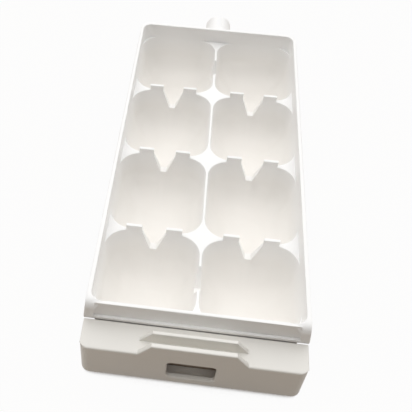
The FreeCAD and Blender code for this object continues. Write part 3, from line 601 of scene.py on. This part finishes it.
def lever_shell(sizes):
    """Shell of the lever as one closed sweep along x.

    Each station's section is a C: over the top with its two ridges, down the front, back under the
    floor, and forward again inside. Past the inside of the side walls the inner line lies on the back
    edge, so the section is solid. The ridges' height is a trapezoid in x, and near the ends the front
    draws back on a quarter circle.
    """
    half = LEVER_HIGH.x
    front, back = LEVER_LOW.y - SEAM_Y, LEVER_HIGH.y - SEAM_Y
    bottom = LEVER_LOW.z - RIM_Z
    ridge_top = LEVER_HIGH.z - RIM_Z
    top_back, top_front = -11.3 * MM, -12.3 * MM
    sill = front + 8.2 * MM
    rear_ridge, rear_thick, front_thick = front + 6.5 * MM, 1.7 * MM, 2.3 * MM
    inside = half - sizes.wall
    edge = 0.4 * MM
    rim_turn = np.linspace(0, math.pi / 2, 5)
    ends = half - edge + edge * np.sin(rim_turn)
    corner_turn = np.arcsin(np.linspace(0, 0.9, 9))
    corner_x = half - sizes.corner + sizes.corner * np.sin(corner_turn)
    ridge = np.linspace(sizes.ridge_top, sizes.ridge_base, 9)
    positive = np.unique(np.round(np.concatenate([
        np.linspace(0, sizes.ridge_top, 5), ridge, np.linspace(sizes.ridge_base, half - sizes.corner, 6),
        corner_x[corner_x < half - edge], ends]), 8))
    keep = np.abs(positive - inside) > 0.05 * MM
    positive = np.sort(np.concatenate([positive[keep], [inside - 1e-7, inside + 1e-7]]))
    stations = np.concatenate([-positive[:0:-1], positive])
    far = np.abs(stations)
    corner_in = np.maximum(far - half + sizes.corner, 0)
    drawn = sizes.corner - np.sqrt(np.maximum(sizes.corner ** 2 - corner_in ** 2, 0))
    drawn = np.minimum(drawn, sizes.corner * 0.99)
    rim_in = np.maximum(far - half + edge, 0)
    shrink = edge - np.sqrt(np.maximum(edge ** 2 - rim_in ** 2, 0))
    face = front + drawn
    solid = far > inside
    foot = np.clip((sizes.ridge_base - far) / (sizes.ridge_base - sizes.ridge_top), 0, 1)

    def top_at(y):
        return top_back + (top_front - top_back) * (back - y) / (back - front) - shrink

    def corner_pair(y, z):
        return np.stack([np.broadcast_to(y, far.shape), np.broadcast_to(z, far.shape)], axis=1)

    def ridge_at(y):
        return top_at(y) + np.maximum(ridge_top - top_at(y), 0) * foot

    rear_face = back - shrink
    low = bottom + shrink
    floor_in, roof_in = bottom + sizes.wall, -sizes.wall
    outer = [
        corner_pair(rear_face, top_at(back)),
        corner_pair(rear_ridge + rear_thick, top_at(rear_ridge + rear_thick)),
        corner_pair(rear_ridge + rear_thick, ridge_at(rear_ridge + rear_thick)),
        corner_pair(rear_ridge, ridge_at(rear_ridge)),
        corner_pair(rear_ridge, top_at(rear_ridge)),
        corner_pair(front + front_thick, top_at(front + front_thick)),
        corner_pair(front + front_thick, ridge_at(front + front_thick)),
        corner_pair(face, ridge_at(face)),
        corner_pair(face, low),
        corner_pair(np.where(solid, rear_face, sill), low),
    ]
    inner = [
        corner_pair(np.where(solid, rear_face, sill), floor_in),
        corner_pair(np.where(solid, rear_face, front + sizes.wall), floor_in),
        corner_pair(np.where(solid, rear_face, front + sizes.wall), top_front + roof_in),
        corner_pair(rear_face, top_back + roof_in),
    ]
    corners = np.stack(outer + inner, axis=1)
    top_edge = np.where(foot > 0, sizes.top_round + (0.8 * MM - sizes.top_round) * foot, sizes.top_round)
    radii = np.stack([np.broadcast_to(value, far.shape) for value in (
        0.15 * MM, 0.6 * MM * foot, 0.6 * MM, 0.6 * MM, 0.5 * MM * foot, 0.5 * MM * foot,
        0.7 * MM, top_edge, sizes.lower_round, 0.3 * MM, 0.3 * MM, 0.5 * MM, 0.5 * MM,
        0.3 * MM)], axis=1)
    section = soften(corners, radii, 6)
    across = np.broadcast_to(stations[:, None, None], section.shape[:2] + (1,))
    return [closed_tube(np.concatenate([across, section], axis=2))]


def window_cutter(sizes):
    """Plug for the window: a rounded rectangle along y that widens in front into a small chamfer."""
    front = LEVER_LOW.y - SEAM_Y
    corner, chamfer = 2.2 * MM, 0.6 * MM
    top = -16.9 * MM
    centre = top - sizes.window_height / 2
    loop = Loop(np.linspace(-1, 1, 5), np.linspace(-1, 1, 5), arc_steps=6)
    rows = []
    for y, grow in ((front - 1 * MM, chamfer * 2), (front, chamfer), (front + chamfer, 0.0),
                    (front + sizes.wall + 1 * MM, 0.0)):
        px, pz = loop.at(sizes.window_half + grow, sizes.window_height / 2 + grow, corner + grow)
        rows.append(np.stack([px, np.full(len(px), y), pz + centre], axis=1))
    points = np.stack(rows, axis=1)
    caps = [np.repeat(points[:, index].mean(axis=0)[None, None], len(points), axis=0)
            for index in (0, -1)]
    return [grid(np.concatenate([caps[0], points, caps[1]], axis=1), wrap_rows=False)]


def lever_inside(sizes):
    """Hinge ribs as plain blocks up to the hinge axis, their round bosses and the latch screws' posts."""
    hinge_y, hinge_z = -9.2 * MM, -30.5 * MM
    rib_near, rib_far, rib_edge = 36 * MM, 39 * MM, 0.2 * MM
    boss_bore, boss_radius = 2.63 * MM, 4 * MM
    post_x, post_drops, post_end = 22 * MM, (18.6 * MM, 29.6 * MM), -6.1 * MM
    post_bore, post_radius = 1.33 * MM, 3 * MM
    sunk = 0.4 * MM
    root = LEVER_LOW.y - SEAM_Y + sizes.wall - sunk
    foot = LEVER_LOW.z - RIM_Z + sizes.wall - sunk
    parts = []
    for side in (-1, 1):
        ends = sorted((side * rib_near, side * rib_far))
        parts.append(rounded_block((ends[0], root, foot), (ends[1], hinge_y + boss_radius, hinge_z),
                                   rib_edge))
        parts.append(ring(np.array([0.0, hinge_y, hinge_z]), boss_bore, boss_radius, *ends, axis=0))
        for drop in post_drops:
            centre = np.array([side * post_x, 0.0, -drop])
            parts.append(ring(centre, post_bore, post_radius, root, post_end, axis=1))
    return parts


def ring(centre, inner, outer, start, end, axis):
    """Tube along x (axis 0) or y (axis 1): a section with small chamfers, turned round the axis."""
    edge = 0.15 * MM
    radii = np.array([inner, inner, outer - edge, outer, outer, outer - edge])
    places = np.array([start, end, end, end - edge, start + edge, start])
    angles = np.linspace(0, 2 * math.pi, 49)[:-1, None]
    first, second = radii * np.cos(angles), radii * np.sin(angles)
    along = np.broadcast_to(places, first.shape)
    if axis == 0:
        points = np.stack([along, first, second], axis=2)
    else:
        points = np.stack([first, along, second], axis=2)
    return grid(points + centre)


# Materials

def node_material(name):
    """Empty node material with a Principled shader; returns material, nodes, links and shader."""
    material = bpy.data.materials.new(name)
    material.use_nodes = True
    nodes, links = material.node_tree.nodes, material.node_tree.links
    return material, nodes, links, nodes["Principled BSDF"]


def noise(nodes, links, scale, detail, coordinates):
    """Noise texture on given coordinates."""
    texture = nodes.new("ShaderNodeTexNoise")
    texture.inputs["Scale"].default_value = scale
    texture.inputs["Detail"].default_value = detail
    links.new(coordinates, texture.inputs["Vector"])
    return texture.outputs["Fac"]


def moulded_plastic(name, base, rough, grain, flow, deep_shade_tint=None):
    """Moulded plastic: faint flow marks in colour and gloss, fine grain as bump, and, when a deep shade
    tint is given, painted shade that makes the colour darker and yellower where deep.
    """
    material, nodes, links, shader = node_material(name)
    place = nodes.new("ShaderNodeTexCoord").outputs["Object"]
    flow_marks = noise(nodes, links, scale=flow, detail=3.0, coordinates=place)
    ramp = nodes.new("ShaderNodeValToRGB")
    ramp.color_ramp.elements[0].position = 0.3
    ramp.color_ramp.elements[0].color = (*[value * 0.985 for value in base], 1)
    ramp.color_ramp.elements[1].position = 0.7
    ramp.color_ramp.elements[1].color = (*base, 1)
    links.new(flow_marks, ramp.inputs["Fac"])
    tint = ramp.outputs["Color"]
    # Painted shade: towards the bottom of the cells the colour is multiplied by a darker, yellower tint.
    if deep_shade_tint:
        split = nodes.new("ShaderNodeSeparateXYZ")
        links.new(place, split.inputs["Vector"])
        depth = nodes.new("ShaderNodeMapRange")
        depth.inputs["From Min"].default_value = 28 * MM
        depth.inputs["From Max"].default_value = 2 * MM
        links.new(split.outputs["Z"], depth.inputs["Value"])
        mix = nodes.new("ShaderNodeMix")
        mix.data_type = "RGBA"
        mix.blend_type = "MULTIPLY"
        links.new(depth.outputs["Result"], mix.inputs["Factor"])
        links.new(tint, mix.inputs["A"])
        mix.inputs["B"].default_value = (*deep_shade_tint, 1)
        tint = mix.outputs["Result"]
    links.new(tint, shader.inputs["Base Color"])
    gloss = nodes.new("ShaderNodeMapRange")
    gloss.inputs["To Min"].default_value = rough - 0.05
    gloss.inputs["To Max"].default_value = rough + 0.07
    gloss_marks = noise(nodes, links, scale=flow * 3, detail=4.0, coordinates=place)
    links.new(gloss_marks, gloss.inputs["Value"])
    links.new(gloss.outputs["Result"], shader.inputs["Roughness"])
    bump = nodes.new("ShaderNodeBump")
    bump.inputs["Strength"].default_value = 0.06
    bump.inputs["Distance"].default_value = 0.1 * MM
    fine_grain = noise(nodes, links, scale=grain, detail=2.0, coordinates=place)
    links.new(fine_grain, bump.inputs["Height"])
    links.new(bump.outputs["Normal"], shader.inputs["Normal"])
    shader.inputs["IOR"].default_value = 1.49
    return material


def brushed_steel(name, base):
    """Steel with fine noise in its roughness and a slight colour drift."""
    material, nodes, links, shader = node_material(name)
    place = nodes.new("ShaderNodeTexCoord").outputs["Object"]
    shader.inputs["Metallic"].default_value = 1.0
    ramp = nodes.new("ShaderNodeValToRGB")
    ramp.color_ramp.elements[0].color = (*[value * 0.8 for value in base], 1)
    ramp.color_ramp.elements[1].color = (*base, 1)
    drift = noise(nodes, links, scale=900.0, detail=4.0, coordinates=place)
    links.new(drift, ramp.inputs["Fac"])
    links.new(ramp.outputs["Color"], shader.inputs["Base Color"])
    gloss = nodes.new("ShaderNodeMapRange")
    gloss.inputs["To Min"].default_value = 0.22
    gloss.inputs["To Max"].default_value = 0.42
    scratches = noise(nodes, links, scale=2500.0, detail=3.0, coordinates=place)
    links.new(scratches, gloss.inputs["Value"])
    links.new(gloss.outputs["Result"], shader.inputs["Roughness"])
    return material


def dress(piece, material):
    """Give a piece one material."""
    piece.data.materials.clear()
    piece.data.materials.append(material)


def dress_node(node, material):
    """Give a CAD node that stays in view one material."""
    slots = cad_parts[node].material_slots
    if not slots:
        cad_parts[node].data.materials.append(material)
    for slot in slots:
        slot.material = material


# Operators

class ICETRAY_OT_tray(bpy.types.Operator):
    """Build the moulded tray"""
    bl_idname = "icetray.tray"
    bl_label = "Tray"

    def execute(self, context):
        sizes = context.scene.icetray_tray
        parts = [cell(sizes, row, side) for row in range(ROW_COUNT) for side in (-1, 1)]
        parts += rim(sizes) + tabs(sizes) + pivot_boss(sizes) + tray_supports(sizes)
        piece = new_piece("moulded_tray", parts)
        weigh_normals(piece)
        # The last tint is painted shade that darkens the deep parts of the cells.
        material = moulded_plastic("tray_plastic", context.scene.icetray_finish.tray,
                                   rough=0.36, grain=2200.0, flow=30.0, deep_shade_tint=(0.94, 0.915, 0.88))
        dress(piece, material)
        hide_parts("ice_tray")
        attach(piece, "tray")
        return {"FINISHED"}


class ICETRAY_OT_lever(bpy.types.Operator):
    """Build the lever's shell with its ridges and window"""
    bl_idname = "icetray.lever"
    bl_label = "Lever"

    def execute(self, context):
        sizes = context.scene.icetray_lever
        piece = new_piece("lever_shell", lever_shell(sizes))
        cutter = new_piece("window_plug", window_cutter(sizes))
        cut = piece.modifiers.new("Window", "BOOLEAN")
        cut.object = cutter
        cut.operation = "DIFFERENCE"
        cut.solver = "EXACT"
        apply_modifiers(piece)
        bpy.data.objects.remove(cutter)
        piece.data.set_sharp_from_angle(angle=SHARP_ANGLE)
        weigh_normals(piece)
        inside = new_piece("lever_ribs", lever_inside(sizes))
        material = moulded_plastic("lever_plastic", context.scene.icetray_finish.lever,
                                   rough=0.42, grain=1900.0, flow=22.0)
        for part in (piece, inside):
            dress(part, material)
            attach(part, "lever")
        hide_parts("front_lever")
        return {"FINISHED"}


class ICETRAY_OT_hardware(bpy.types.Operator):
    """Give the bracket, latch plate, bushes, buffers, pins, clips, screws and springs their finishes"""
    bl_idname = "icetray.hardware"
    bl_label = "Hinge hardware"

    def execute(self, context):
        finish = context.scene.icetray_finish
        bracket = moulded_plastic("bracket_plastic", finish.bracket, rough=0.45, grain=1700.0, flow=40.0)
        bush = moulded_plastic("bush_plastic", finish.bush, rough=0.3, grain=2500.0, flow=60.0)
        rubber = moulded_plastic("buffer_rubber", finish.rubber, rough=0.75, grain=1200.0, flow=80.0)
        steel = brushed_steel("hinge_steel", finish.steel)
        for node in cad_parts:
            if node in ("lever_bracket", "latch_plate"):
                dress_node(node, bracket)
            elif node.startswith("hinge_bush"):
                dress_node(node, bush)
            elif node.startswith("stop_buffer"):
                dress_node(node, rubber)
            elif node not in ("ice_tray", "front_lever"):
                dress_node(node, steel)
        return {"FINISHED"}


CAMERA_PLACE = (-12.33 * MM, -157.14 * MM, 260.86 * MM)
CAMERA_TURN = (42.884, -1.484, 6.878)
FOCAL_PIXELS = 680.0
CENTRE_PIXEL = (141.67, 169.02)
SENSOR_WIDTH = 36.0
FLOOR_HALF = 2.0
# Painted contact shadow on the floor: reach and samples of its ambient occlusion, and the occlusion
# values at which the white is fully gone and fully there.
PAINTED_SHADOW_REACH = 40 * MM
PAINTED_SHADOW_SAMPLES = 8
PAINTED_SHADOW_DARKEST, PAINTED_SHADOW_CLEAR = 0.15, 0.5
FLOOR_WHITENESS = 0.97
BRIGHT_SIDE = (0.0, 0.35, 0.94)
DIM_SKY = (0.04, 0.025, 0.01)
BRIGHT_SKY = (0.89, 0.89, 0.89)


def add_light(name, place, target, power, width, depth):
    """Area lamp that looks at a target."""
    lamp = bpy.data.lights.new(name, "AREA")
    lamp.shape = "RECTANGLE"
    lamp.energy = power
    lamp.size = width
    lamp.size_y = depth
    light = bpy.data.objects.new(name, lamp)
    light.location = place
    light.rotation_euler = (Vector(target) - Vector(place)).to_track_quat("-Z", "Y").to_euler()
    bpy.context.scene.collection.objects.link(light)


class ICETRAY_OT_stage(bpy.types.Operator):
    """Add the floor, the soft lamps, the world and the camera"""
    bl_idname = "icetray.stage"
    bl_label = "Stage"

    def execute(self, context):
        scene = context.scene
        scene.view_settings.view_transform = "Standard"
        camera_data = bpy.data.cameras.new("Camera")
        camera_data.sensor_width = SENSOR_WIDTH
        camera_data.lens = FOCAL_PIXELS * camera_data.sensor_width / PHOTO_SIDE
        camera_data.shift_x = (PHOTO_SIDE / 2 - CENTRE_PIXEL[0]) / PHOTO_SIDE
        camera_data.shift_y = (CENTRE_PIXEL[1] - PHOTO_SIDE / 2) / PHOTO_SIDE
        camera_data.clip_start = 1 * MM
        camera = bpy.data.objects.new("Camera", camera_data)
        camera.location = Vector(CAMERA_PLACE) + Vector((0.0, SEAM_Y, RIM_Z))
        camera.rotation_euler = Euler([math.radians(angle) for angle in CAMERA_TURN])
        scene.collection.objects.link(camera)
        scene.camera = camera
        self.add_floor(scene)
        self.add_world(scene)
        add_light("Back lamp", (-0.1, 0.5, 1.3), (0, 0, 0), power=14.5, width=3.4, depth=2.0)
        add_light("Low lamp", (-0.17, -0.3, 0.06), (-0.04, -0.12, 0.01),
                  power=0.03, width=0.08, depth=0.08)
        return {"FINISHED"}

    def add_floor(self, scene):
        """Flat floor: almost white to the camera, with a painted contact shadow: under and near the tray,
        where ambient occlusion is strong, the white fades to the floor's own lit colour.
        """
        corners = [(x * FLOOR_HALF, y * FLOOR_HALF, 0) for x, y in ((-1, -1), (1, -1), (1, 1), (-1, 1))]
        mesh = bpy.data.meshes.new("floor")
        mesh.from_pydata(corners, [], [(0, 1, 2, 3)])
        floor = bpy.data.objects.new("floor", mesh)
        scene.collection.objects.link(floor)
        material, nodes, links, shader = node_material("floor_paper")
        shader.inputs["Base Color"].default_value = (*scene.icetray_finish.floor, 1)
        shader.inputs["Roughness"].default_value = 0.9
        glow = nodes.new("ShaderNodeEmission")
        seen = nodes.new("ShaderNodeLightPath")
        either = nodes.new("ShaderNodeMath")
        either.operation = "MAXIMUM"
        links.new(seen.outputs["Is Camera Ray"], either.inputs[0])
        links.new(seen.outputs["Is Glossy Ray"], either.inputs[1])
        # Painted shadow: ambient occlusion turns the white glow off under the tray, and the dark floor
        # colour shows there.
        gap = nodes.new("ShaderNodeAmbientOcclusion")
        gap.samples = PAINTED_SHADOW_SAMPLES
        gap.inputs["Distance"].default_value = PAINTED_SHADOW_REACH
        share = nodes.new("ShaderNodeMapRange")
        share.inputs["From Min"].default_value = PAINTED_SHADOW_DARKEST
        share.inputs["From Max"].default_value = PAINTED_SHADOW_CLEAR
        share.inputs["To Max"].default_value = FLOOR_WHITENESS
        links.new(gap.outputs["AO"], share.inputs["Value"])
        white = nodes.new("ShaderNodeMath")
        white.operation = "MULTIPLY"
        links.new(either.outputs["Value"], white.inputs[0])
        links.new(share.outputs["Result"], white.inputs[1])
        mix = nodes.new("ShaderNodeMixShader")
        links.new(white.outputs["Value"], mix.inputs["Fac"])
        links.new(shader.outputs["BSDF"], mix.inputs[1])
        links.new(glow.outputs["Emission"], mix.inputs[2])
        links.new(mix.outputs["Shader"], nodes["Material Output"].inputs["Surface"])
        mesh.materials.append(material)

    def add_world(self, scene):
        """World brightest overhead and behind the tray, dim and orange-tinted in front; white to the
        camera.
        """
        world = bpy.data.worlds.new("Soft room")
        world.use_nodes = True
        scene.world = world
        nodes, links = world.node_tree.nodes, world.node_tree.links
        facing = nodes.new("ShaderNodeVectorMath")
        facing.operation = "DOT_PRODUCT"
        facing.inputs[1].default_value = BRIGHT_SIDE
        links.new(nodes.new("ShaderNodeTexCoord").outputs["Generated"], facing.inputs[0])
        sky = nodes.new("ShaderNodeValToRGB")
        low, high = sky.color_ramp.elements
        low.position, low.color = 0.15, (*DIM_SKY, 1)
        high.position, high.color = 0.65, (*BRIGHT_SKY, 1)
        links.new(facing.outputs["Value"], sky.inputs["Fac"])
        seen = nodes.new("ShaderNodeLightPath")
        either = nodes.new("ShaderNodeMath")
        either.operation = "MAXIMUM"
        links.new(seen.outputs["Is Camera Ray"], either.inputs[0])
        links.new(seen.outputs["Is Transmission Ray"], either.inputs[1])
        mix = nodes.new("ShaderNodeMix")
        mix.data_type = "RGBA"
        links.new(either.outputs["Value"], mix.inputs["Factor"])
        links.new(sky.outputs["Color"], mix.inputs["A"])
        mix.inputs["B"].default_value = (1, 1, 1, 1)
        links.new(mix.outputs["Result"], nodes["Background"].inputs["Color"])


class ICETRAY_PT_panel(bpy.types.Panel):
    """Buttons and sizes of the ice tray"""
    bl_idname = "ICETRAY_PT_panel"
    bl_label = "Ice tray"
    bl_space_type = "VIEW_3D"
    bl_region_type = "UI"
    bl_category = "Ice tray"

    def draw(self, context):
        for operator in OPERATORS:
            self.layout.operator(operator.bl_idname)
        scene = context.scene
        for group in (scene.icetray_tray, scene.icetray_lever, scene.icetray_finish):
            box = self.layout.box()
            for name in group.__annotations__:
                box.prop(group, name)


OPERATORS = (ICETRAY_OT_tray, ICETRAY_OT_lever, ICETRAY_OT_hardware, ICETRAY_OT_stage)
GROUPS = (TraySizes, LeverSizes, Finishes)
CLASSES = GROUPS + OPERATORS + (ICETRAY_PT_panel,)


def register():
    """Register the classes and hang the property groups on the scene."""
    for item in CLASSES:
        bpy.utils.register_class(item)
    bpy.types.Scene.icetray_tray = PointerProperty(type=TraySizes)
    bpy.types.Scene.icetray_lever = PointerProperty(type=LeverSizes)
    bpy.types.Scene.icetray_finish = PointerProperty(type=Finishes)


def unregister():
    """Take the property groups and classes away again."""
    for name in ("icetray_tray", "icetray_lever", "icetray_finish"):
        delattr(bpy.types.Scene, name)
    for item in reversed(CLASSES):
        bpy.utils.unregister_class(item)


def main():
    register()
    bpy.ops.icetray.tray()
    bpy.ops.icetray.lever()
    bpy.ops.icetray.hardware()
    bpy.ops.icetray.stage()


if __name__ == "__main__":
    main()
